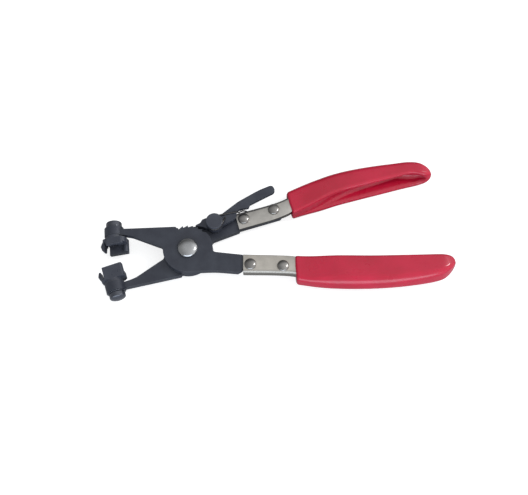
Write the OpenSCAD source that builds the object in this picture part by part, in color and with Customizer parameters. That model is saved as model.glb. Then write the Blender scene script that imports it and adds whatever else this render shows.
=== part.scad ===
// Hose-clamp pliers: two stacked stamped halves on a rivet pivot, swivel jaws, ratchet lock
// lever, folded sheet handles and dipped grips.
// X runs from the jaws to the handles, Z along the pivot. The rear half is the front half
// turned over about X. The origin is the centre of the pivot rivet's flat rear face.

/* [Halves] */
// Height of the joint between the two halves above the pivot rivet's rear face
mid_z = 6.6; // [6.6:0.1:8]
// Thickness of each stamped half
plate_t = 4.4; // [4:0.1:4.5]
// Gap from the middle plane to each half
mid_gap = 0.05; // [0.03:0.01:0.1]
// Radius of the round hub about the pivot
hub_r = 15.3; // [15.1:0.1:15.5]

/* [Ratchet] */
// Number of ratchet notches
notch_n = 6; // [4:1:6]
// Angle between notches
notch_pitch = 12.3; // [11:0.1:12.5]
// Angle of the first notch from +X
notch_first = 46; // [44:0.5:48]
// Depth of a notch
notch_depth = 1.3; // [1:0.1:1.6]

/* [Swivel eyes] */
// Distance of the upper eye's centre from the pivot along X
upper_eye_x = 44.8; // [44:0.1:45.5]
// Distance of the lower eye's centre from the pivot along X
lower_eye_x = 46.2; // [45:0.1:46.4]
// Distance of an eye's centre from the X axis
eye_y = 18.1; // [17.8:0.1:18.4]
// Lean of the upper swivel axis from the Y axis
upper_tilt = 1.5; // [1:0.5:4]
// Lean of the lower swivel axis from the Y axis
lower_tilt = 10; // [6:0.5:11]
// Outer radius of the eye
eye_r = 6; // [5.5:0.1:6.2]
// Length of the eye along its axis
eye_l = 5.6; // [5:0.1:6]
// Radius of the swivel pin
swivel_pin_r = 2.4; // [2:0.1:3]
// Turn of the upper jaw about its pin in the rest pose
upper_swivel = 10; // [0:1:15]
// Turn of the lower jaw about its pin in the rest pose
lower_swivel = -4; // [-15:1:0]

/* [Jaws] */
// Height of a jaw's long plate from the eye's inner face
jaw_h = 10.4; // [9:0.1:10.4]
// Width of the slot for the clamp's tang
jaw_slot = 1.3; // [1.2:0.1:1.5]
// Depth of a jaw along the pivot direction
jaw_d = 11; // [10:0.5:11.5]

/* [Handles] */
// Thickness of the folded handle sheet
sheet_t = 1.5; // [1:0.1:1.6]
// Radius of a handle rivet's shank
rivet_r = 2; // [1.5:0.1:2.2]
// Radius of a handle rivet's head
rivet_head_r = 3.6; // [3:0.1:3.6]
// Height of a handle rivet's head
rivet_head_h = 1.9; // [1:0.1:2]
// Half thickness of a grip at its start
grip_half = 5.2; // [5:0.1:5.6]
// Half thickness of a grip in its middle
grip_mid_half = 6; // [5.8:0.1:6.5]

/* [Pivot] */
// Radius of the pivot rivet's shank
pivot_r = 3.2; // [2.5:0.1:3.5]
// Radius of the pivot rivet's domed head
pivot_head_r = 6.2; // [5.5:0.1:6.5]
// Height of that head
pivot_head_h = 3; // [2:0.1:3.5]

/* [Lock lever] */
// Place of the lever's pin along X
lever_x = 18.2; // [18:0.1:18.5]
// Place of the lever's pin along Y
lever_y = 14.2; // [14:0.1:14.5]
// Radius of the lever pin's shank
lever_pin_r = 2.5; // [2:0.1:2.8]
// Radius of the lever pin's large round head
lever_head_r = 5.2; // [4.8:0.1:5.3]
// Diameter of the spring wire
wire_d = 0.9; // [0.7:0.1:1]

/* [Hidden] */
$fn = 96;

black_oxide = [0.16, 0.17, 0.19];
zinc = [0.78, 0.78, 0.75];
steel = [0.70, 0.70, 0.70];
red_pvc = [0.78, 0.12, 0.2];

run_gap = 0.05;                       // radial clearance of every turning fit
plate_top = mid_gap + plate_t;        // outer face of a half, from the middle plane
channel_in = plate_top + 0.05;        // inner faces of the cheeks at z = 0 and here
channel_top = channel_in + sheet_t;
channel_mid = channel_in / 2;
rivet_inner = [36.7, -16.2];
rivet_outer = [56.3, -20.0];
washer_t = 0.8;
swivel_washer_t = 0.6;
swivel_head_h = 4.5;
swivel_head_r = 4.9;
swivel_dome_h = 1.4;
pivot_tail_r = 5;

// ---- outlines -------------------------------------------------------------

// A polygon whose corners [x, y, radius] are rounded with arcs
max_turn = 5;                         // degrees between neighbouring chords
min_chord = 0.3;
function corner_arc(a, p, b) =
    let (p2 = [p[0], p[1]],
         u = ([a[0], a[1]] - p2) / norm([a[0], a[1]] - p2),
         v = ([b[0], b[1]] - p2) / norm([b[0], b[1]] - p2),
         half = acos(max(-1, min(1, u * v))) / 2,
         away = (u + v) / norm(u + v),
         centre = p2 + away * p[2] / sin(half),
         start = p2 + u * p[2] / tan(half) - centre,
         finish = p2 + v * p[2] / tan(half) - centre,
         a0 = atan2(start[1], start[0]),
         sweep = (atan2(finish[1], finish[0]) - a0 + 540) % 360 - 180,
         steps = max(1, min(ceil(abs(sweep) / max_turn), ceil(abs(sweep) * PI / 180 * p[2] / min_chord))))
    [for (i = [0:steps]) centre + p[2] * [cos(a0 + sweep * i / steps), sin(a0 + sweep * i / steps)]];
function rounded(pts) =
    [for (i = [0:len(pts) - 1])
        let (p = pts[i], a = pts[(i + len(pts) - 1) % len(pts)], b = pts[(i + 1) % len(pts)])
        each (p[2] > 0 ? corner_arc(a, p, b) : [[p[0], p[1]]])];
function on_circle(r, a) = [r * cos(a), r * sin(a)];
function with_r(p, r) = [p[0], p[1], r];
// An open run of corners moved to its left by d
function unit(v) = v / norm(v);
function flat(p) = [p[0], p[1]];
function shifted(pts, d) =
    [for (i = [0:len(pts) - 1])
        let (p = flat(pts[i]),
             a = i > 0 ? flat(pts[i - 1]) : 2 * p - flat(pts[1]),
             b = i < len(pts) - 1 ? flat(pts[i + 1]) : 2 * p - a,
             u = unit(p - a), v = unit(b - p),
             m = [-(u[1] + v[1]), u[0] + v[0]] / (1 + u * v))
        [p[0] + d * m[0], p[1] + d * m[1], pts[i][2]]];

// Jaw arm, from the eye to the hub
arm_outline = rounded([
    [-41.5, 18.7, 0], [-15.8, 16.3, 40], [-6.2, 15.4, 0], [0, 8, 0], [0, -8, 0],
    [-14.9, -2, 0], [-15.5, 3.2, 2.2], [-19.2, 5.1, 8],
    [-33.2, 12.8, 4], [-36.8, 13.9, 0], [-41.5, 14.9, 0]]);

// Tang, from the hub to the end inside the handle channel
tang_outline = rounded([
    [0, 8, 0], [12, 8, 0], with_r([15.2, -4.4], 3.2), [33.0, -8.9, 0.6], [33.4, -9.9, 0.4],
    [61.5, -14.7, 2.5], [60.6, -21.5, 2.5], [33.2, -17.1, 0.6], [32.0, -17.7, 0.3],
    [31.4, -18.5, 0.8], [28.7, -19.7, 1.2], [15, -16.6, 60], with_r(on_circle(hub_r, 258), 0)]);

// The folded handle seen from the front
handle_back = [[55, -24.3, 14], [66, -27.6, 14], [98, -38.3, 80], [146, -40.3, 40], [159.6, -34.9, 3.8]];
handle_outline = rounded(concat([[33.1, -9.5, 0.4], [31.7, -20.7, 0.4]], handle_back,
    [[159.2, -29.6, 2.6], [150, -28.7, 30], [70, -17.2, 12], [62, -14.5, 12]]));

// The space between its cheeks, open along the inner edge and at the near end
channel_space = rounded(concat(
    shifted(concat([[26, -19.8, 0]], handle_back, [[158.7, -23, 0]]), sheet_t), [[26, 2, 0]]));

// The dipped grip over it
grip_outline = rounded([
    [66.2, -14.9, 1], [72, -16.2, 12], [150, -27.3, 30], [161.6, -27.8, 4], [161.6, -36.8, 5.8],
    [147, -42.3, 40], [98, -40.1, 80], [64.6, -28.6, 1]]);

// The thicker middle of the grip
grip_mid_outline = rounded([
    [78, -21.5, 2], [150, -30.6, 30], [158.4, -31.2, 1.3], [158.2, -34.2, 1.5], [145.8, -38.9, 38],
    [98.4, -36.9, 80], [78, -30.4, 2]]);

module ratchet_notches()
    for (i = [0:notch_n - 1])
        let (a = notch_first + notch_pitch * i, root = hub_r - notch_depth)
            polygon([on_circle(root, a), on_circle(hub_r + 0.05, a + 1.6),
                on_circle(hub_r + 2.5, a + 1.8), on_circle(hub_r + 2.5, a - notch_pitch + 2.4),
                on_circle(hub_r - 0.15, a - notch_pitch + 2.2)]);

// ---- placing --------------------------------------------------------------

// The middle plane carries every piece of the front half
module front_half() translate([0, 0, mid_z]) children();
// The rear half is the front half turned over about X
module rear_half() translate([0, 0, mid_z]) rotate([180, 0, 0]) children();
// Local frame of an eye: z along the swivel axis towards the other jaw, y towards the outside
module at_eye(x, tilt) translate([-x, eye_y, 0]) rotate([0, 0, -tilt]) rotate([90, 0, 0]) children();
module upper_eye(swivel = 0)
    front_half() at_eye(upper_eye_x, upper_tilt) rotate([0, 0, swivel]) children();
module lower_eye(swivel = 0)
    rear_half() at_eye(lower_eye_x, lower_tilt) rotate([0, 0, swivel]) children();

// ---- jaw halves -----------------------------------------------------------

module half_body(ratchet, x, tilt) {
    difference() {
        union() {
            difference() {
                translate([0, 0, mid_gap]) linear_extrude(plate_t) {
                    difference() {
                        union() {
                            circle(hub_r);
                            polygon(arm_outline);
                        }
                        if (ratchet) ratchet_notches();
                    }
                    polygon(tang_outline);
                }
                // room for the jaw's neck
                at_eye(x, tilt) translate([0, 0, eye_l / 2]) cylinder(r = eye_r + 0.1, h = 4);
            }
            at_eye(x, tilt) cylinder(r = eye_r, h = eye_l, center = true);
        }
        at_eye(x, tilt) translate([0, 0, -eye_l]) cylinder(r = swivel_pin_r + run_gap, h = eye_l * 2);
        for (p = [rivet_inner, rivet_outer])
            translate([p[0], p[1], -1]) cylinder(r = rivet_r, h = plate_t + 2);
    }
}

module front_jaw_plate() color(black_oxide) difference() {
    half_body(true, upper_eye_x, upper_tilt);
    translate([0, 0, -1]) cylinder(r = pivot_r, h = plate_t + 2);
}

module rear_jaw_plate() color(black_oxide) difference() {
    half_body(false, lower_eye_x, lower_tilt);
    translate([0, 0, -1]) cylinder(r = pivot_r + run_gap, h = plate_t + 2);
    translate([lever_x, -lever_y, -1]) cylinder(r = lever_pin_r, h = plate_t + 2);
}

// ---- pivot ----------------------------------------------------------------

// A domed head on the plane z = 0
module dome(r, h) {
    ball = (r * r + h * h) / (2 * h);
    intersection() {
        translate([0, 0, h - ball]) sphere(ball);
        cylinder(r = r, h = h + 1);
    }
}

module pivot_rivet() color(steel) {
    translate([0, 0, plate_top]) dome(pivot_head_r, pivot_head_h);
    translate([0, 0, -mid_z + 0.5]) cylinder(r = pivot_r, h = mid_z + plate_top);
    translate([0, 0, -mid_z]) cylinder(r = pivot_tail_r, h = mid_z - plate_top - washer_t - 0.15);
}

module pivot_washer() color(black_oxide) translate([0, 0, -plate_top - washer_t - 0.1]) difference() {
    cylinder(r = pivot_head_r + 0.3, h = washer_t);
    translate([0, 0, -1]) cylinder(r = pivot_r, h = washer_t + 2);
}

// ---- handles --------------------------------------------------------------

module handle_channel() color(zinc) difference() {
    translate([0, 0, -sheet_t]) linear_extrude(channel_in + 2 * sheet_t) polygon(handle_outline);
    linear_extrude(channel_in) polygon(channel_space);
    for (p = [rivet_inner, rivet_outer])
        translate([p[0], p[1], -sheet_t - 1]) cylinder(r = rivet_r, h = channel_top + sheet_t + 2);
}

module handle_rivet(p) color(steel) translate([p[0], p[1], 0]) {
    translate([0, 0, channel_top]) dome(rivet_head_r, rivet_head_h);
    translate([0, 0, -sheet_t]) mirror([0, 0, 1]) dome(rivet_head_r, rivet_head_h);
    translate([0, 0, -sheet_t - 0.1]) cylinder(r = rivet_r, h = channel_top + sheet_t + 0.2);
}

// The dipped skin: it covers the channel, and leaves a narrow trough along its open edge
module handle_grip() color(red_pvc) difference() {
    translate([0, 0, channel_mid]) {
        translate([0, 0, -grip_half]) linear_extrude(grip_half * 2) polygon(grip_outline);
        translate([0, 0, -grip_mid_half]) linear_extrude(grip_mid_half * 2) polygon(grip_mid_outline);
    }
    translate([0, 0, -sheet_t]) linear_extrude(channel_in + 2 * sheet_t) polygon(handle_outline);
    translate([0, 0, 0.8]) linear_extrude(channel_in - 1.6)
        polygon([[60, -8], [60, -18], [157.5, -32], [157.5, -20]]);
}

// ---- swivel jaws ----------------------------------------------------------

module jaw_outline() polygon(rounded([[-6.9, -jaw_d / 2 + 1, 3], [8.1, -jaw_d / 2, 2.6],
    [8.1, jaw_d / 2, 3.6], [-6.9, jaw_d / 2 - 1, 3]]));

module swivel_jaw() color(black_oxide) {
    plate_u = -4.4;                   // left edge of the long plate
    base_z = eye_l / 2 + 2;
    base_t = 3.2;
    top_z = eye_l / 2 + jaw_h;
    cheek_z = eye_l / 2 + 6.4;
    difference() {
        union() {
            translate([0, 0, eye_l / 2 + 0.1]) cylinder(r = eye_r - 0.4, h = 2.2);
            translate([0, 0, base_z]) linear_extrude(base_t) jaw_outline();
            // long plate at the rear
            translate([0, 0, base_z]) linear_extrude(top_z - base_z)
                polygon(rounded([[plate_u, -jaw_d / 2, 0.4], [7.8, -jaw_d / 2, 1.2],
                    [7.8, -jaw_d / 2 + 2.8, 0.6], [plate_u, -jaw_d / 2 + 2.8, 0.4]]));
            // rounded post at the right end
            translate([0, 0, base_z]) linear_extrude(top_z - base_z - 0.6)
                translate([6.2, -jaw_d / 2 + 2.4]) circle(r = 1.9);
            // short cheek in front
            translate([0, 0, base_z]) linear_extrude(cheek_z - base_z)
                polygon(rounded([[-3.9, jaw_d / 2 - 2.6, 0.4], [6.6, jaw_d / 2 - 2.6, 0.4],
                    [6.6, jaw_d / 2, 1], [-3.9, jaw_d / 2, 1]]));
            // hooked prong on the left
            translate([0, 2.4, 0]) rotate([90, 0, 0]) linear_extrude(4.8)
                polygon(rounded([[plate_u - jaw_slot, base_z + 0.5, 0], [-6.6, base_z + 0.5, 0],
                    [-7.4, base_z + 2, 1], [-8.2, base_z + 4, 1], [-7.2, top_z - 1.4, 0.8],
                    [-6, top_z - 1.4, 0.5], [plate_u - jaw_slot, base_z + 4, 0.8]]));
        }
        translate([0, 0, -1]) cylinder(r = swivel_pin_r, h = eye_l + base_z);
        // slot for the clamp's tang, cut into the base
        translate([plate_u - jaw_slot, -jaw_d, base_z + base_t - 1.2]) cube([jaw_slot, jaw_d * 2, jaw_h]);
    }
}

module swivel_pin() color(black_oxide) {
    translate([0, 0, -eye_l / 2 - swivel_washer_t - 0.1]) mirror([0, 0, 1]) {
        cylinder(r = swivel_head_r, h = swivel_head_h - swivel_dome_h);
        translate([0, 0, swivel_head_h - swivel_dome_h]) dome(swivel_head_r, swivel_dome_h);
    }
    translate([0, 0, -eye_l / 2 - swivel_washer_t - 0.2])
        cylinder(r = swivel_pin_r, h = eye_l + swivel_washer_t + 4.6);
}

module swivel_washer() color(black_oxide) translate([0, 0, -eye_l / 2 - swivel_washer_t - 0.05])
    difference() {
        cylinder(r = swivel_head_r + 0.6, h = swivel_washer_t);
        translate([0, 0, -1]) cylinder(r = swivel_pin_r, h = swivel_washer_t + 2);
    }

// ---- lock lever -----------------------------------------------------------

lever_low = channel_top - channel_in + 0.35;   // clears the rear half's channel, whose cheek stands up

module lock_lever() color(black_oxide) difference() {
    union() {
        // pawl nose, full depth of the front half's layer
        translate([0, 0, mid_gap + 0.2]) linear_extrude(plate_t - 0.3) polygon(rounded([
            [5.9, 14.5, 0.2], [9.4, 15.9, 1.2], [10.9, 18.0, 0.9], [14.5, 18.9, 0], [18.2, 14.2, 0],
            [13.4, 11.9, 0], [10.6, 13.2, 3]]));
        translate([lever_x, lever_y, mid_gap + 0.2]) cylinder(r = 4.9, h = plate_t - 0.3);
        // arm and thumb tab, above the channel
        translate([0, 0, lever_low]) linear_extrude(plate_top - lever_low - 0.1) polygon(rounded([
            [16.0, 17.5, 0], [22.4, 19.4, 3], [34.5, 27.1, 25], [48.2, 33.2, 40], [57.4, 35.9, 2.2],
            [59.3, 31.0, 2.4], [48.5, 26.9, 30], [41.6, 24.2, 1.2], [40.6, 22.1, 1], [36.5, 22, 0.5],
            [34.5, 21.7, 0.5], [32.6, 20.1, 0.5], [32.3, 17.5, 1.5], [30.6, 15.4, 2], [22.4, 12.2, 2],
            [18.2, 12, 0]]));
    }
    translate([lever_x, lever_y, -1]) cylinder(r = lever_pin_r + run_gap, h = plate_top + 2);
}

lever_cap_z = plate_top + 0.1 + 2 * wire_d + 0.5;
lever_cap_h = 2;

module lock_lever_pin() color(black_oxide) translate([lever_x, lever_y, 0]) {
    translate([0, 0, lever_cap_z]) cylinder(r = lever_head_r, h = lever_cap_h);
    translate([0, 0, -plate_top - 0.1]) cylinder(r = lever_pin_r, h = plate_top + lever_cap_z + 0.2);
    translate([0, 0, -plate_top - 1.3]) cylinder(r = 3.8, h = 1.25);
}

// Torsion spring, taken as two closed rings of wire with a leg along each side
module lock_spring() color(steel) translate([lever_x, lever_y, plate_top + 0.1 + wire_d / 2]) {
    coil_r = 4.7;
    for (i = [0, 1])
        translate([0, 0, (wire_d - 0.1) * i])
            rotate_extrude($fn = 40) translate([coil_r, 0]) circle(d = wire_d, $fn = 16);
    rotate([0, 0, 8]) translate([0, coil_r, 0]) rotate([0, 90, 0]) cylinder(d = wire_d, h = 13);
}

front_half() front_jaw_plate();
rear_half() rear_jaw_plate();
front_half() pivot_rivet();
front_half() pivot_washer();
front_half() handle_channel();  // lower_handle_channel
rear_half() handle_channel();  // upper_handle_channel
front_half() handle_rivet(rivet_inner);  // lower_handle_inner_rivet
front_half() handle_rivet(rivet_outer);  // lower_handle_outer_rivet
rear_half() handle_rivet(rivet_inner);  // upper_handle_inner_rivet
rear_half() handle_rivet(rivet_outer);  // upper_handle_outer_rivet
front_half() handle_grip();  // lower_grip
rear_half() handle_grip();  // upper_grip
upper_eye(upper_swivel) swivel_jaw();  // upper_swivel_jaw
lower_eye(lower_swivel) swivel_jaw();  // lower_swivel_jaw
upper_eye() swivel_pin();  // upper_swivel_pin
lower_eye() swivel_pin();  // lower_swivel_pin
upper_eye() swivel_washer();  // upper_swivel_washer
lower_eye() swivel_washer();  // lower_swivel_washer
front_half() lock_lever();
front_half() lock_lever_pin();
front_half() lock_spring();
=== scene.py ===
import math

import bmesh
import bpy
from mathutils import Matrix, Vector


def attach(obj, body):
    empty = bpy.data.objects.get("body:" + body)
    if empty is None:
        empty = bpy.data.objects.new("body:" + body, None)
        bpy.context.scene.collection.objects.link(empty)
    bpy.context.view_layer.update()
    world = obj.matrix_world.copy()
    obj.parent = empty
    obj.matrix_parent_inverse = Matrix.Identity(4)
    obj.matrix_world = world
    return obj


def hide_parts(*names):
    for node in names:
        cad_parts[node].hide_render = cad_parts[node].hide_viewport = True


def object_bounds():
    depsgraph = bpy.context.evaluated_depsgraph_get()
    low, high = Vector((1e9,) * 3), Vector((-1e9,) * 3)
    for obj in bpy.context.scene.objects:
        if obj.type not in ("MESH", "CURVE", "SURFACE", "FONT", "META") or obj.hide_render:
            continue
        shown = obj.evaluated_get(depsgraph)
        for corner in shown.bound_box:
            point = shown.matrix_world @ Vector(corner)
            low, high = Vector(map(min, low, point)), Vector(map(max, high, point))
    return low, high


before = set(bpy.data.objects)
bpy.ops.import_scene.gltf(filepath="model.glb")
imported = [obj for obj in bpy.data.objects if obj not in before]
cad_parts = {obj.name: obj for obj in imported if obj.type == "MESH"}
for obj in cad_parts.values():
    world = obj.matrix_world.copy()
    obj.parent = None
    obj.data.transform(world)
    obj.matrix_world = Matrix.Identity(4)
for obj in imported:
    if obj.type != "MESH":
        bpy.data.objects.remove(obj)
cad_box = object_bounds()

MM = 0.001
MID = 6.6            # parting plane of the two halves above the origin, mm
PLATE_TOP = 4.45     # outer face of a stamped half, from the parting plane
CHEEK_HALF = 3.75    # half the outer width of the folded channel
CHEEK_MID = 2.25     # its middle, from the parting plane
SHEET = 1.5          # channel sheet thickness
RIVETS = {"inner": (36.7, -16.2), "outer": (56.3, -20.0)}    # handle rivets on either half
LEVER_PIN = (18.2, 14.2)


# ---- placing -----------------------------------------------------------------

def front(p):
    """A point of the front half: x and y in mm from the pivot, z from the parting plane."""
    return (p[0] * MM, p[1] * MM, (MID + p[2]) * MM)


def rear(p):
    """The same for the rear half, which is the front half turned over about the X axis."""
    return (p[0] * MM, -p[1] * MM, (MID - p[2]) * MM)


# ---- mesh helpers ------------------------------------------------------------

def new_mesh(name, verts, faces, smooth_angle=35.0):
    """A smooth-shaded object whose edges stay sharp above an angle."""
    mesh = bpy.data.meshes.new(name)
    mesh.from_pydata(verts, [], faces)
    mesh.validate()
    obj = bpy.data.objects.new(name, mesh)
    bpy.context.scene.collection.objects.link(obj)
    bm = bmesh.new()
    bm.from_mesh(obj.data)
    bmesh.ops.remove_doubles(bm, verts=bm.verts, dist=1e-7)
    bmesh.ops.recalc_face_normals(bm, faces=bm.faces)
    for f in bm.faces:
        f.smooth = True
    limit = math.radians(smooth_angle)
    for e in bm.edges:
        if len(e.link_faces) == 2 and e.calc_face_angle(0) > limit:
            e.smooth = False
    bm.to_mesh(obj.data)
    bm.free()
    return obj


def loft(rings):
    """Closed rings of equal length -> vertices and faces, with both ends capped."""
    n = len(rings[0])
    verts = [p for ring in rings for p in ring]
    faces = []
    for r in range(len(rings) - 1):
        a, b = r * n, (r + 1) * n
        for i in range(n):
            j = (i + 1) % n
            faces.append((a + i, a + j, b + j, b + i))
    faces.append(tuple(range(n - 1, -1, -1)))
    last = (len(rings) - 1) * n
    faces.append(tuple(last + i for i in range(n)))
    return verts, faces


def rounded(corners, steps):
    """Closed 2-D corners (x, y, radius) -> points, `steps` + 1 for each corner."""
    pull = 0.62      # weight of the corner itself; near this the curve is close to an arc
    out = []
    n = len(corners)
    for i, (px, py, r) in enumerate(corners):
        p = Vector((px, py))
        u = Vector(corners[i - 1][:2]) - p
        v = Vector(corners[(i + 1) % n][:2]) - p
        lu, lv = u.length, v.length
        if lu < 1e-6 or lv < 1e-6:
            out += [p.copy() for _ in range(steps + 1)]
            continue
        u /= lu
        v /= lv
        half = max(1e-3, math.acos(max(-1, min(1, u.dot(v)))) / 2)
        t = min(r / math.tan(half), lu * 0.49, lv * 0.49)
        a, b = p + u * t, p + v * t
        for s in range(steps + 1):
            k = s / steps
            q = (1 - k) ** 2 + 2 * pull * k * (1 - k) + k ** 2
            out.append((a * (1 - k) ** 2 + p * (2 * pull * k * (1 - k)) + b * k ** 2) / q)
    return out


def curve_at(points, x):
    """Smooth curve through (x, y) points, with each slope taken from its neighbours."""
    n = len(points)
    d = [(points[i + 1][1] - points[i][1]) / (points[i + 1][0] - points[i][0]) for i in range(n - 1)]
    m = [d[0]] + [(d[i - 1] + d[i]) / 2 for i in range(1, n - 1)] + [d[-1]]
    x = max(points[0][0], min(points[-1][0], x))
    for i in range(n - 1):
        if x <= points[i + 1][0]:
            break
    x0, y0 = points[i]
    x1, y1 = points[i + 1]
    h = x1 - x0
    t = (x - x0) / h
    return (y0 * (2 * t ** 3 - 3 * t ** 2 + 1) + m[i] * h * (t ** 3 - 2 * t ** 2 + t)
            + y1 * (-2 * t ** 3 + 3 * t ** 2) + m[i + 1] * h * (t ** 3 - t ** 2))


def smooth(t):
    """0 below 0, 1 above 1 and an S-curve between."""
    t = max(0.0, min(1.0, t))
    return t * t * (3 - 2 * t)


def lathe(name, profile, place, at=(0, 0), steps=72):
    """Profile of (radius, z) turned about a Z axis at `at`."""
    rings = []
    for r, z in profile:
        rings.append([place((at[0] + r * math.cos(2 * math.pi * i / steps),
                             at[1] + r * math.sin(2 * math.pi * i / steps), z)) for i in range(steps)])
    verts, faces = loft(rings)
    return new_mesh(name, verts, faces)


def tube(name, path, radius, place):
    """Round wire along a path of points, with slightly narrowed ends."""
    around = 14
    pts = [Vector(p) for p in path]
    rings = []
    up = Vector((0, 0, 1))
    for i, p in enumerate(pts):
        t = (pts[min(i + 1, len(pts) - 1)] - pts[max(i - 1, 0)]).normalized()
        side = t.cross(up)
        if side.length < 1e-4:
            side = Vector((1, 0, 0))
        side.normalize()
        up = side.cross(t).normalized()
        ends = min(i, len(pts) - 1 - i)
        r = radius * (0.72 if ends == 0 else 1.0)
        rings.append([place(p + side * (r * math.cos(2 * math.pi * k / around))
                            + up * (r * math.sin(2 * math.pi * k / around))) for k in range(around)])
    verts, faces = loft(rings)
    return new_mesh(name, verts, faces)


# ---- materials ---------------------------------------------------------------

class Nodes:
    """A small writer for node materials, with object coordinates in millimetres."""

    def __init__(self, name):
        self.mat = bpy.data.materials.new(name)
        self.mat.use_nodes = True
        self.tree = self.mat.node_tree
        self.bsdf = self.tree.nodes["Principled BSDF"]
        self.texcoord = self.add("ShaderNodeTexCoord")
        self.coord = self.texcoord.outputs["Object"]

    def add(self, kind, **values):
        node = self.tree.nodes.new(kind)
        for key, value in values.items():
            if key in node.inputs:
                node.inputs[key].default_value = value
            else:
                setattr(node, key, value)
        return node

    def link(self, a, b):
        self.tree.links.new(a, b)

    def mapped(self, scale, turn=0.0):
        m = self.add("ShaderNodeMapping")
        m.inputs["Scale"].default_value = scale
        m.inputs["Rotation"].default_value = (0, 0, math.radians(turn))
        self.link(self.coord, m.inputs["Vector"])
        return m.outputs["Vector"]

    def noise(self, per_mm, detail=4.0, rough=0.55, stretch=(1, 1, 1), turn=0.0):
        n = self.add("ShaderNodeTexNoise", Scale=1.0, Detail=detail, Roughness=rough)
        k = per_mm / MM
        self.link(self.mapped([k * s for s in stretch], turn), n.inputs["Vector"])
        return n.outputs["Fac"]

    def ramp(self, fac, low, high, a=0.0, b=1.0):
        r = self.add("ShaderNodeMapRange")
        r.inputs["From Min"].default_value = low
        r.inputs["From Max"].default_value = high
        r.inputs["To Min"].default_value = a
        r.inputs["To Max"].default_value = b
        self.link(fac, r.inputs["Value"])
        return r.outputs["Result"]

    def mix(self, fac, a, b):
        m = self.add("ShaderNodeMix", data_type="RGBA")
        self.link(fac, m.inputs["Factor"])
        for socket, value in ((m.inputs[6], a), (m.inputs[7], b)):
            if isinstance(value, tuple):
                socket.default_value = value + (1,)
            else:
                self.link(value, socket)
        return m.outputs[2]

    def math(self, op, a, b):
        m = self.add("ShaderNodeMath", operation=op)
        for socket, value in zip(m.inputs, (a, b)):
            if isinstance(value, (int, float)):
                socket.default_value = value
            else:
                self.link(value, socket)
        return m.outputs[0]

    def edge(self, radius_mm):
        """1 on edges within a radius and 0 on flat faces, from the rounded normal."""
        bevel = self.add("ShaderNodeBevel", samples=6)
        bevel.inputs["Radius"].default_value = radius_mm * MM
        geo = self.add("ShaderNodeNewGeometry")
        dot = self.add("ShaderNodeVectorMath", operation="DOT_PRODUCT")
        self.link(bevel.outputs[0], dot.inputs[0])
        self.link(geo.outputs["Normal"], dot.inputs[1])
        return self.ramp(self.math("SUBTRACT", 1.0, dot.outputs["Value"]), 0.02, 0.2)

    def facing_y(self):
        """1 on faces that look along Y, such as the folded sides, and 0 on the others; it masks painted
        shade.
        """
        split = self.add("ShaderNodeSeparateXYZ")
        self.link(self.texcoord.outputs["Normal"], split.inputs[0])
        return self.ramp(self.math("ABSOLUTE", split.outputs["Y"], 0.0), 0.15, 0.7)

    def bump(self, *layers):
        """Layers of (height, strength, distance in mm), chained."""
        normal = None
        for height, strength, distance in layers:
            b = self.add("ShaderNodeBump", Strength=strength, Distance=distance * MM)
            self.link(height, b.inputs["Height"])
            if normal:
                self.link(normal, b.inputs["Normal"])
            normal = b.outputs["Normal"]
        self.link(normal, self.bsdf.inputs["Normal"])

    def set(self, **values):
        for key, value in values.items():
            socket = self.bsdf.inputs[key.replace("_", " ")]
            if isinstance(value, (int, float, tuple)):
                socket.default_value = value
            else:
                self.link(value, socket)


def black_oxide(name, lift, wear=0.35, rough=(0.28, 0.44), metallic=0.25, oil=0.0):
    """Black oxide on steel; `lift` lightens it, `wear` bares its edges, `oil` adds a clear film."""
    m = Nodes(name)
    cloud = m.ramp(m.noise(0.12, 5), 0.3, 0.7)
    grain = m.noise(4.0, 3, 0.6)
    base = m.mix(cloud, tuple(lift * c for c in (0.017, 0.0185, 0.026)),
                 tuple(lift * c for c in (0.027, 0.030, 0.039)))
    base = m.mix(m.ramp(grain, 0.55, 0.8, 0, 0.5), base, (0.055, 0.058, 0.068))
    scratch = m.ramp(m.noise(0.9, 2, 0.5, (0.12, 3.5, 1), 18), 0.66, 0.74, 0, 0.35)
    rubbed = m.math("MULTIPLY", m.edge(0.35), m.ramp(m.noise(0.8, 4, 0.65), 0.42, 0.62, 0.15, wear))
    base = m.mix(scratch, base, (0.065, 0.068, 0.078))
    base = m.mix(rubbed, base, (0.20, 0.20, 0.215))
    m.set(Base_Color=base, Metallic=metallic, IOR=1.5,
          Roughness=m.ramp(m.noise(0.5, 4), 0.3, 0.7, *rough), Coat_Weight=oil, Coat_Roughness=0.16)
    m.bump((grain, 0.25, 0.03), (m.noise(0.35, 3), 0.25, 0.12))
    return m.mat


def bare_metal(name, light, dark, rough, streak=(0.06, 3.0, 3.0), turn=0.0,
               wear=(0.86, 0.86, 0.84), fold=1.0):
    """Metal with rolling lines along `turn` degrees; `fold` below 1 paints shade on its folded sides,
    darkening them towards `fold` times the dark colour.
    """
    m = Nodes(name)
    stain = m.ramp(m.noise(0.16, 5, 0.6), 0.35, 0.68)
    lines = m.noise(1.6, 4, 0.6, streak, turn)
    base = m.mix(stain, dark, light)
    base = m.mix(m.ramp(lines, 0.35, 0.75, 0, 0.28), base, tuple(c * 0.72 for c in light))
    base = m.mix(m.math("MULTIPLY", m.edge(0.3), 0.5), base, wear)
    # painted shade: the folded sides, which face along Y, are darkened
    if fold < 1.0:
        base = m.mix(m.facing_y(), base, tuple(c * fold for c in dark))
    m.set(Base_Color=base, Metallic=1.0, Roughness=m.ramp(lines, 0.3, 0.7, *rough))
    m.bump((lines, 0.16, 0.03), (m.noise(0.25, 2), 0.16, 0.14))
    return m.mat


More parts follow.
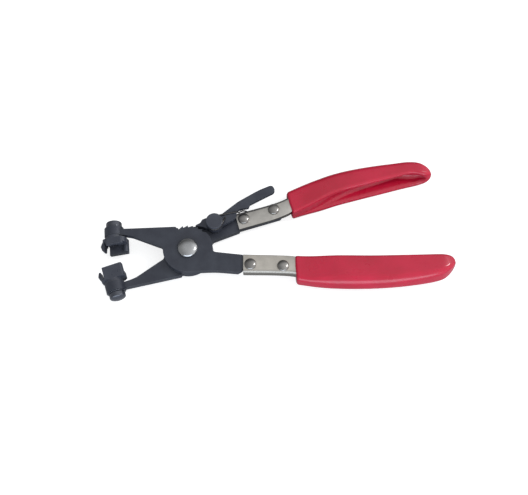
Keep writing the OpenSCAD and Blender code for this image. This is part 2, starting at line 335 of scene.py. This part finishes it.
def dipped_pvc(name):
    """Glossy red PVC skin, a little uneven from the dipping."""
    m = Nodes(name)
    cloud = m.ramp(m.noise(0.05, 4), 0.3, 0.7)
    base = m.mix(cloud, (0.425, 0.004, 0.027), (0.535, 0.006, 0.041))
    m.set(Base_Color=base, Roughness=m.ramp(m.noise(0.12, 2), 0.3, 0.7, 0.26, 0.34), IOR=1.5,
          Specular_IOR_Level=0.30, Coat_Weight=0.4, Coat_Roughness=0.08, Subsurface_Weight=0.08,
          Subsurface_Radius=(0.004, 0.001, 0.001), Subsurface_Scale=0.5)
    m.bump((m.noise(0.09, 2), 0.3, 0.5))
    return m.mat


BLACK = black_oxide("black_oxide_plate", lift=1.75)
# Jaws' oxide: a lighter copy of the plates', lift 2.0 against 1.75, painted light that lifts the shade
# in the jaws' recesses.
BLACK_JAW_PAINTED_LIGHT = black_oxide("black_oxide_jaw_painted_light", wear=0.5, lift=2.0, rough=(0.26, 0.38), metallic=0.0)
BLACK_PIN = black_oxide("black_oxide_pin", wear=0.5, lift=2.1, rough=(0.20, 0.30), metallic=0.5, oil=0.9)
BLACK_LEVER = black_oxide("black_oxide_lever", wear=0.4, lift=1.85)
# Lower channel's zinc; fold=0.7 paints shade on its folded side.
ZINC = bare_metal("zinc_sheet", (0.60, 0.56, 0.50), (0.47, 0.44, 0.395), (0.36, 0.50), turn=-9,
                  fold=0.7)
# Upper channel's zinc: a darker, cooler copy of the lower channel's, with fold=0.3 darkening its folded
# side much more: painted shade.
ZINC_UP_PAINTED_SHADE = bare_metal("zinc_sheet_upper_painted_shade", (0.565, 0.54, 0.50), (0.44, 0.42, 0.39), (0.34, 0.48), turn=9,
                     fold=0.3)
PIVOT = bare_metal("pivot_steel", (0.45, 0.45, 0.45), (0.345, 0.345, 0.355), (0.20, 0.32), (1, 1, 1))
RIVET = bare_metal("rivet_steel", (0.33, 0.315, 0.30), (0.22, 0.21, 0.20), (0.20, 0.32), (1, 1, 1))
SPRING = bare_metal("spring_steel", (0.10, 0.095, 0.09), (0.06, 0.055, 0.055), (0.25, 0.38), (1, 1, 1),
                    wear=(0.15, 0.15, 0.15))
PVC = dipped_pvc("red_pvc_dip")


def dress(obj, material):
    obj.data.materials.clear()
    obj.data.materials.append(material)


def add_piece(obj, body, nodes, material):
    """Hangs a new piece on its body, in place of the CAD nodes that it redraws."""
    dress(obj, material)
    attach(obj, body)
    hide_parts(*nodes)
    return obj


# ---- carried-over CAD nodes: bevelled edges and materials -----------------------

def soften(node, material, width, segments=3):
    """Gives a CAD node its material and bevelled edges `width` mm wide."""
    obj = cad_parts[node]
    dress(obj, material)
    for poly in obj.data.polygons:
        poly.use_smooth = True
    weld = obj.modifiers.new("weld", "WELD")
    weld.merge_threshold = 1e-6
    flat = obj.modifiers.new("flatten", "DECIMATE")
    flat.decimate_type = "DISSOLVE"
    flat.angle_limit = math.radians(0.6)
    bevel = obj.modifiers.new("edges", "BEVEL")
    bevel.width = width * MM
    bevel.segments = segments
    bevel.limit_method = "ANGLE"
    bevel.angle_limit = math.radians(28)
    bevel.use_clamp_overlap = True
    bevel.harden_normals = False
    normals = obj.modifiers.new("normals", "WEIGHTED_NORMAL")
    normals.keep_sharp = False
    normals.weight = 60
    return obj


for node in ("front_jaw_plate", "rear_jaw_plate"):
    soften(node, BLACK, 0.45)
for node in ("upper_swivel_jaw", "lower_swivel_jaw"):
    soften(node, BLACK_JAW_PAINTED_LIGHT, 0.4)
for node in ("upper_swivel_pin", "lower_swivel_pin"):
    soften(node, BLACK_PIN, 0.5)
for node in ("upper_swivel_washer", "lower_swivel_washer", "pivot_washer"):
    soften(node, BLACK_PIN, 0.15, 2)
soften("lock_lever", BLACK_LEVER, 0.5)
soften("lock_lever_pin", BLACK_JAW_PAINTED_LIGHT, 0.45)


# ---- folded channels -------------------------------------------------------------

# Inner and outer edges of the front half's channel: distance from the X axis
CHANNEL_INNER = [(30, 9.0), (36, 10.0), (61, 14.3), (70, 17.0), (84, 19.4), (110, 23.0),
                 (132, 26.1), (152, 29.0)]
CHANNEL_OUTER = [(30, 20.5), (36, 21.4), (53, 24.0), (62, 25.8), (68, 27.9), (83, 32.6),
                 (98, 35.9), (122, 38.4), (138, 38.6), (152, 36.6)]
CHANNEL_START, CHANNEL_END = 31.7, 150
GRIP_MOUTH = 66      # near here the grips begin, and the sheet inside them changes shape


def flare(x):
    """Half the outer width of the folded sheet: it opens out inside the grip."""
    return CHEEK_HALF + 1.0 * smooth((x - GRIP_MOUTH - 1) / 26)


def twist(x):
    """How far the handle leans across its own thickness, as a slope."""
    return 0.10 * smooth((x - GRIP_MOUTH + 14) / 14) + 0.15 * smooth((x - GRIP_MOUTH) / 24)


def channel(name, place, far_inside, back_short, edge_round):
    """Sheet folded into a U along its outer edge, open along the inner one.

    Inside the grip both cheeks stop `far_inside` mm short of the inner edge. The cheek on the
    outer face of its half is `back_short` mm shorter all along, with a fold of radius `edge_round`.
    """
    count, fold, inner_fold, cut_edge, least_cheek = 60, 2.3, 1.0, 0.35, 0.3
    rings = []
    for i in range(count + 1):
        x = CHANNEL_START + (CHANNEL_END - CHANNEL_START) * (i / count) ** 1.15
        yi, yo = curve_at(CHANNEL_INNER, x), curve_at(CHANNEL_OUTER, x)
        lean = 1.4 * max(0.0, 1 - (x - CHANNEL_START) / 40)
        h = flare(x)
        w = h - SHEET
        web = yo - SHEET
        yi = min(yi + far_inside * smooth((x - GRIP_MOUTH) / 10), web - least_cheek)
        short = min(yi + back_short, web - least_cheek)
        corners = [(short, h, cut_edge), (yo, h, edge_round), (yo, -h, fold), (yi, -h, cut_edge),
                   (yi, -w, cut_edge), (web, -w, inner_fold), (web, w, inner_fold),
                   (short, w, cut_edge)]
        ring = []
        for v, z in rounded(corners, 5):
            share = (yo - v) / (yo - yi)
            ring.append(place((x + lean * share, -(v - twist(x) * z), CHEEK_MID + z)))
        rings.append(ring)
    verts, faces = loft(rings)
    obj = new_mesh(name, verts, faces, 40)
    bevel = obj.modifiers.new("edges", "BEVEL")
    bevel.width = 0.25 * MM
    bevel.segments = 2
    bevel.limit_method = "ANGLE"
    bevel.angle_limit = math.radians(50)
    return obj


add_piece(channel("lower_channel_folded", front, 0.9, 0.0, 2.3), "front_half",
          ["lower_handle_channel"], ZINC)
add_piece(channel("upper_channel_folded", rear, 9.5, 2.2, 3.4), "rear_half",
          ["upper_handle_channel"], ZINC_UP_PAINTED_SHADE)


# ---- rivets ---------------------------------------------------------------------

POLE = 0.02      # least radius of a turned profile, so that no ring shrinks to a point


def dome_profile(r, h, base, rim=0.35, steps=14, flat=0.0):
    """From the centre's flat top down to the rim: (radius, z) above `base`."""
    pts = [(max(POLE, flat), base + h)]
    for i in range(1, steps + 1):
        a = math.pi / 2 * i / steps
        pts.append((flat + (r - flat) * math.sin(a) ** 0.93, base + rim + (h - rim) * math.cos(a)))
    pts.append((r - 0.12, base))
    return pts


def handle_rivet(name, at, place):
    """Shank through both cheeks with a dome outside each."""
    head_r, head_h, shank_r, bite = 3.6, 1.9, 2.0, 0.1
    top_face, low_face = CHEEK_MID + CHEEK_HALF, CHEEK_MID - CHEEK_HALF
    top = dome_profile(head_r, head_h, top_face)
    low = [(r, -z) for r, z in dome_profile(head_r, head_h, -low_face)]
    shank = [(shank_r, top_face - bite), (shank_r, low_face + bite)]
    return lathe(name, top + shank + low[::-1], place, at)


for side, place, body in (("lower", front, "front_half"), ("upper", rear, "rear_half")):
    for where, at in RIVETS.items():
        node = f"{side}_handle_{where}_rivet"
        add_piece(handle_rivet(node.replace("_rivet", "_dome_rivet"), at, place), body, [node],
                  RIVET)


def pivot_rivet():
    """Large low dome in front, shank through both halves, small chamfered head behind."""
    shank_r, tail_r, tail_top, tail_end = 3.2, 5.0, -5.2, -6.6
    profile = dome_profile(6.2, 3.0, PLATE_TOP, rim=0.7, steps=20, flat=1.2)
    profile += [(shank_r, PLATE_TOP - 0.1), (shank_r, tail_top), (tail_r - 0.4, tail_top - 0.15),
                (tail_r, tail_top - 0.5), (tail_r, tail_end + 0.35), (tail_r - 0.3, tail_end),
                (POLE, tail_end)]
    return lathe("pivot_dome_rivet", profile, front, steps=96)


add_piece(pivot_rivet(), "front_half", ["pivot_rivet"], PIVOT)


# ---- torsion spring ------------------------------------------------------------

SPRING_WIRE = 0.45      # radius of the wire


def torsion_spring():
    """Path of the wire: a leg hooked over the inner rivet, a coil round the lever's pin and
    a leg on the lever's arm."""
    coil_r, pitch, hook_r = 4.7, 0.57, 4.0
    base = PLATE_TOP + 0.12 + SPRING_WIRE
    hook_z, arm_z = PLATE_TOP + 0.1, PLATE_TOP + 0.38
    leg, arm_leg = 15.4, 6.4
    begin, end = math.radians(94.5), math.radians(690)
    start = Vector((coil_r * math.cos(begin), coil_r * math.sin(begin), base))
    away = Vector((math.sin(begin), -math.cos(begin), 0))
    rivet = Vector((RIVETS["inner"][0] - LEVER_PIN[0], -RIVETS["inner"][1] - LEVER_PIN[1], 0))
    path = []
    for i in range(10, -1, -1):
        a = math.radians(128 - 9 * i)
        path.append(rivet + Vector((hook_r * math.cos(a), hook_r * math.sin(a), hook_z)))
    for i in range(14, 0, -1):
        s = i / 15
        sink = (hook_z + 0.3 - base) * smooth((s - 0.4) / 0.6)
        path.append(start + away * leg * s + Vector((0, 0, sink)))
    steps = 96
    for i in range(steps + 1):
        a = begin + (end - begin) * i / steps
        rise = pitch * (a - begin) / (2 * math.pi)
        path.append(Vector((coil_r * math.cos(a), coil_r * math.sin(a), base + rise)))
    last = path[-1]
    away = Vector((-math.sin(end), math.cos(end), 0))
    for i in range(1, 13):
        s = i / 12
        sink = (arm_z - last.z) * smooth((s - 0.45) / 0.5)
        path.append(last + away * arm_leg * s + Vector((0, 0, sink)))
    return [p + Vector((*LEVER_PIN, 0)) for p in path]


add_piece(tube("lock_torsion_spring", torsion_spring(), SPRING_WIRE, front), "lever",
          ["lock_spring"], SPRING)


# ---- dipped grips ----------------------------------------------------------------

# Inner and outer edges of each grip, as distances from the X axis; the two were dipped separately
LOWER_INNER = [(60, 14.2), (66, 15.4), (83, 18.3), (97, 20.3), (110, 22.2), (128, 24.4),
               (144, 26.2), (162, 28.0)]
LOWER_OUTER = [(60, 29.5), (66, 31.5), (74, 33.8), (83, 35.8), (97, 38.1), (110, 39.6),
               (124, 40.5), (137, 40.5), (147, 39.9), (154, 38.6), (162, 35.8)]
UPPER_INNER = [(60, 14.2), (66, 15.4), (83, 19.0), (97, 21.9), (110, 23.8), (128, 26.2),
               (144, 28.3), (162, 30.0)]
UPPER_OUTER = [(60, 27.9), (66, 30.6), (74, 33.2), (83, 35.7), (97, 39.1), (110, 40.7),
               (124, 41.2), (137, 41.0), (147, 40.7), (154, 39.2), (162, 36.4)]
GRIP_END = 161.5


def rounding(x, start, power=2.0):
    """1 until start, then down to 0 at the grip's end as a round nose."""
    t = max(0.0, min(1.0, (x - start) / (GRIP_END - start)))
    return math.sqrt(max(0.0, 1 - t ** power))


def grip_stations(start):
    """Places along a grip: close at its lip, even over its length, close again at its nose."""
    even, nose, nose_start = 62, 18, 149.0
    stations = [start + d for d in (0, 0.15, 0.4, 0.8, 1.3, 2.0, 3.0, 4.2)]
    first = start + 5.6
    stations += [first + (nose_start - first) * i / even for i in range(even)]
    stations += [nose_start + (GRIP_END - nose_start) * math.sin(math.pi / 2 * i / nose)
                 for i in range(nose + 1)]
    return stations


def grip(name, place, start, lean, inner, outer, tip, set_back):
    """PVC skin over a channel, with a hollow along its inner edge.

    It begins `start` mm from the pivot with a mouth that leans by `lean` mm, and closes at `tip`
    mm from the X axis. The wall on the inner face of its half stands back by `set_back` mm.
    """
    skin, lip_roll, thin = 1.2, 0.55, 0.02
    rings = []
    for x in grip_stations(start):
        d = x - start
        yi, yo = curve_at(inner, x), curve_at(outer, x)
        lip = smooth(d)
        yi += lip_roll * (1 - lip)
        yo -= lip_roll * (1 - lip)
        half = flare(x) + skin - 0.75 * (1 - lip)
        yi = tip + (yi - tip) * rounding(x, 156.0)
        yo = tip + (yo - tip) * rounding(x, 150.5, 2.2)
        half *= max(thin, rounding(x, 151.0, 2.4))
        width = max(yo - yi, 0.05)
        open_end = max(0.0, 1 - max(0.0, (x - 146) / 11.5) ** 2) ** 0.5
        slot = max(thin, (flare(x) - SHEET - 0.45) * open_end)
        slot = min(slot, half * 0.7)
        short = yi + set_back * smooth((x - 68) / 38) * (1 - smooth((x - 146) / 12))
        depth = (0.3 + 4.0 * smooth((d - 12) / 44) + 1.2 * smooth((x - 118) / 22)) * open_end
        over_channel = curve_at(CHANNEL_OUTER, x) - SHEET - 0.9 - short
        depth = min(max(thin, depth), width * 0.62, max(thin, over_channel))
        edge = (half - slot) * 0.49
        crown = min(half * 0.98, width * 0.48, 2.8 + 3.4 * smooth(d / 45))
        waist = yi + width * 0.45
        corners = [(yi, half, edge), (waist, half, width), (yo, half, crown),
                   (yo, -half, crown), (waist, -half, width), (short, -half, edge),
                   (short, -slot, edge), (short + depth, -slot, slot * 0.8),
                   (short + depth, slot, slot * 0.8), (yi, slot, edge)]
        ring = []
        shear = lean * max(0.0, 1 - d / 30)
        for v, z in rounded(corners, 7):
            share = (yo - v) / width
            bow = math.sin(math.pi * max(0, min(1, share))) * 0.3 * max(0.0, 1 - d / 12)
            ring.append(place((x + shear * share - bow, -(v - twist(x) * z), CHEEK_MID + z)))
        rings.append(ring)
    verts, faces = loft(rings)
    obj = new_mesh(name, verts, faces, 60)
    sub = obj.modifiers.new("smooth", "SUBSURF")
    sub.levels = sub.render_levels = 1
    return obj


add_piece(grip("lower_grip_dip", front, 63.1, 1.3, LOWER_INNER, LOWER_OUTER, 31.0, 0.0),
          "front_half", ["lower_grip"], PVC)
add_piece(grip("upper_grip_dip", rear, 66.0, 1.9, UPPER_INNER, UPPER_OUTER, 32.0, 3.0),
          "rear_half", ["upper_grip"], PVC)


# ---- floor, lights, camera ---------------------------------------------------------

def pale_floor():
    """White where it is seen; darker in reflections, with a bluish glow towards the window."""
    m = Nodes("pale_floor")
    seen = m.add("ShaderNodeLightPath").outputs["Is Camera Ray"]
    across = m.add("ShaderNodeSeparateXYZ")
    m.link(m.coord, across.inputs[0])
    window_side = m.ramp(across.outputs["Y"], -0.14, -0.02, 0.55, 0.0)
    glow = m.add("ShaderNodeMix")
    m.link(seen, glow.inputs["Factor"])
    m.link(window_side, glow.inputs["A"])
    glow.inputs["B"].default_value = 0.74
    m.set(Base_Color=m.mix(seen, (0.40, 0.40, 0.41), (0.52, 0.52, 0.52)), Roughness=0.9,
          Emission_Color=m.mix(seen, (0.78, 0.88, 1.0), (1, 1, 1)),
          Emission_Strength=glow.outputs["Result"])
    return m.mat


floor_z = cad_box[0].z - 0.0002
half_floor = 3.0
floor = new_mesh("floor", [(sx * half_floor, sy * half_floor, floor_z) for sx, sy in
                           ((-1, -1), (1, -1), (1, 1), (-1, 1))], [(0, 1, 2, 3)])
dress(floor, pale_floor())

scene = bpy.context.scene
world = bpy.data.worlds.new("studio")
scene.world = world
world.use_nodes = True
sky = world.node_tree


def sky_ramp(source, from_min, from_max, to_min, to_max):
    """Smooth change of strength along one direction of the sky."""
    node = sky.nodes.new("ShaderNodeMapRange")
    node.interpolation_type = "SMOOTHSTEP"
    node.inputs["From Min"].default_value = from_min
    node.inputs["From Max"].default_value = from_max
    node.inputs["To Min"].default_value = to_min
    node.inputs["To Max"].default_value = to_max
    sky.links.new(source, node.inputs["Value"])
    return node.outputs["Result"]


# The sky is brighter over the grips' end (+X) than over the jaws, and dim beyond +Y
direction = sky.nodes.new("ShaderNodeTexCoord")
split = sky.nodes.new("ShaderNodeSeparateXYZ")
sky.links.new(direction.outputs["Generated"], split.inputs[0])
both = sky.nodes.new("ShaderNodeMath")
both.operation = "MULTIPLY"
sky.links.new(sky_ramp(split.outputs["X"], -0.75, 0.55, 0.42, 1.15), both.inputs[0])
sky.links.new(sky_ramp(split.outputs["Y"], 0.35, 0.85, 1.0, 0.25), both.inputs[1])
background = sky.nodes["Background"]
sky.links.new(both.outputs[0], background.inputs["Strength"])
background.inputs["Color"].default_value = (0.96, 0.98, 1.0, 1)
scene.view_settings.view_transform = "Standard"


def softbox(name, place, size, power, colour=(1, 1, 1)):
    """Area light turned towards the middle of the tool."""
    light = bpy.data.lights.new(name, "AREA")
    light.shape = "RECTANGLE"
    light.size, light.size_y = size
    light.energy = power
    light.color = colour
    obj = bpy.data.objects.new(name, light)
    scene.collection.objects.link(obj)
    obj.location = place
    obj.rotation_euler = (Vector((0.05, 0, 0)) - Vector(place)).to_track_quat("-Z", "Y").to_euler()
    return obj


softbox("key", (0.85, 0.10, 0.75), (0.10, 0.34), 3.4)
softbox("window", (-0.1, -1.1, 0.28), (1.5, 0.5), 8.5, (0.76, 0.87, 1.0))

# Camera: the photograph's viewing angle, looking down from the lower grip's side (-Y)
look = Vector((0.04676, -0.00416, 0.00639))
azimuth, elevation, distance = math.radians(-7.88), math.radians(68.29), 0.45
back = Vector((math.sin(azimuth) * math.cos(elevation), -math.cos(azimuth) * math.cos(elevation),
               math.sin(elevation)))
camera = bpy.data.objects.new("camera", bpy.data.cameras.new("camera"))
scene.collection.objects.link(camera)
camera.location = look + back * distance
camera.rotation_euler = back.to_track_quat("Z", "Y").to_euler()
camera.data.lens = 49.37
camera.data.sensor_width = 36
camera.data.clip_start = 0.01
scene.camera = camera
